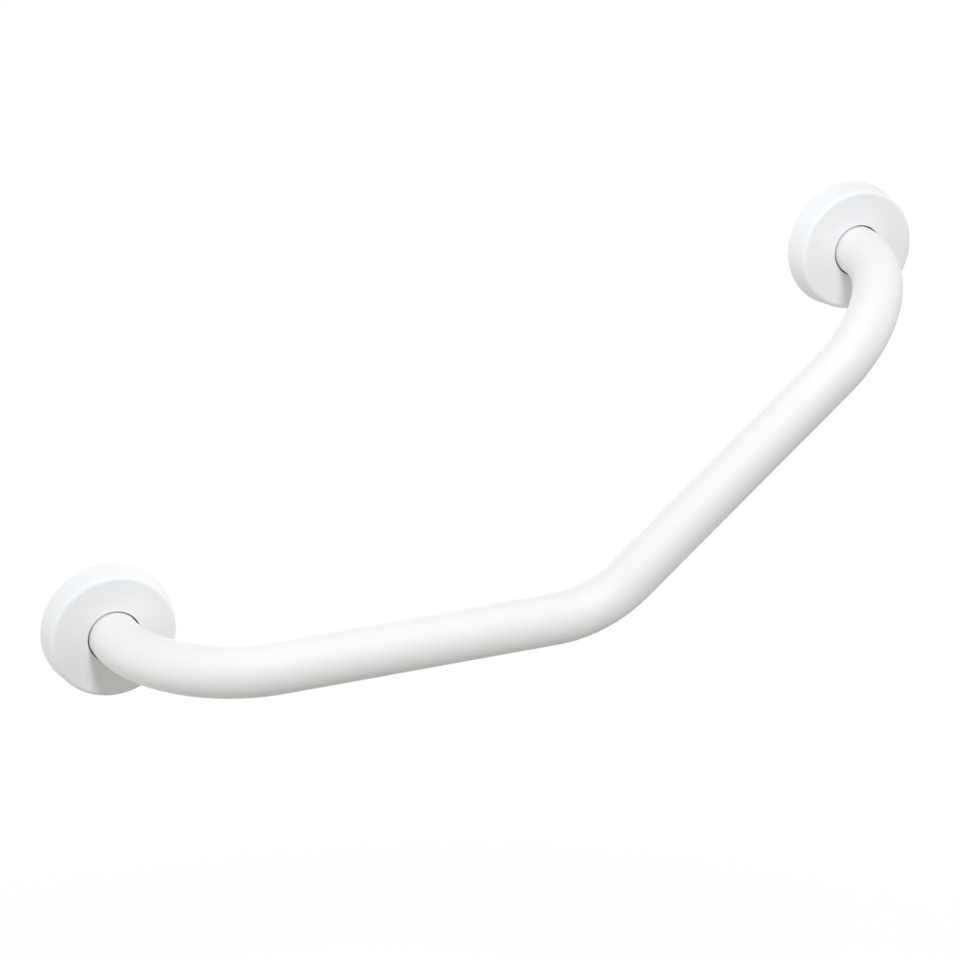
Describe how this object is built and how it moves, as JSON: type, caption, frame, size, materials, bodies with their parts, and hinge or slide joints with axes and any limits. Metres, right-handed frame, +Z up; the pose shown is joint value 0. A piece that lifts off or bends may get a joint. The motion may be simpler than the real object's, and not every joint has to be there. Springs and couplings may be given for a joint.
{
  "type": "angled grab bar",
  "caption": "White angled grab bar: a bent round tube on two welded wall plates, each hidden by a push-fit round cover that slides along the tube.",
  "frame": {"origin": "centre of the lower mounting plate, on its wall side", "axes": "+Y into the wall, +X along the level lower arm towards the elbow, +Z up"},
  "size_m": [0.5926, 0.1135, 0.2691],
  "materials": {
    "white_coated_steel": "satin white powder coat",
    "white_moulding": "matte white moulding"
  },
  "bodies": {
    "bar": {"rail_tube": "white_coated_steel", "lower_mounting_plate": "white_coated_steel", "upper_mounting_plate": "white_coated_steel"},
    "lower_cover": {"lower_cover": "white_moulding"},
    "upper_cover": {"upper_cover": "white_moulding"}
  },
  "joints": [
    {"name": "lower_cover_slide", "type": "slide", "parent": "bar", "child": "lower_cover", "axis": [0, -1, 0], "range_m": [0, 0.008]},
    {"name": "upper_cover_slide", "type": "slide", "parent": "bar", "child": "upper_cover", "axis": [0, -1, 0], "range_m": [0, 0.008]}
  ]
}
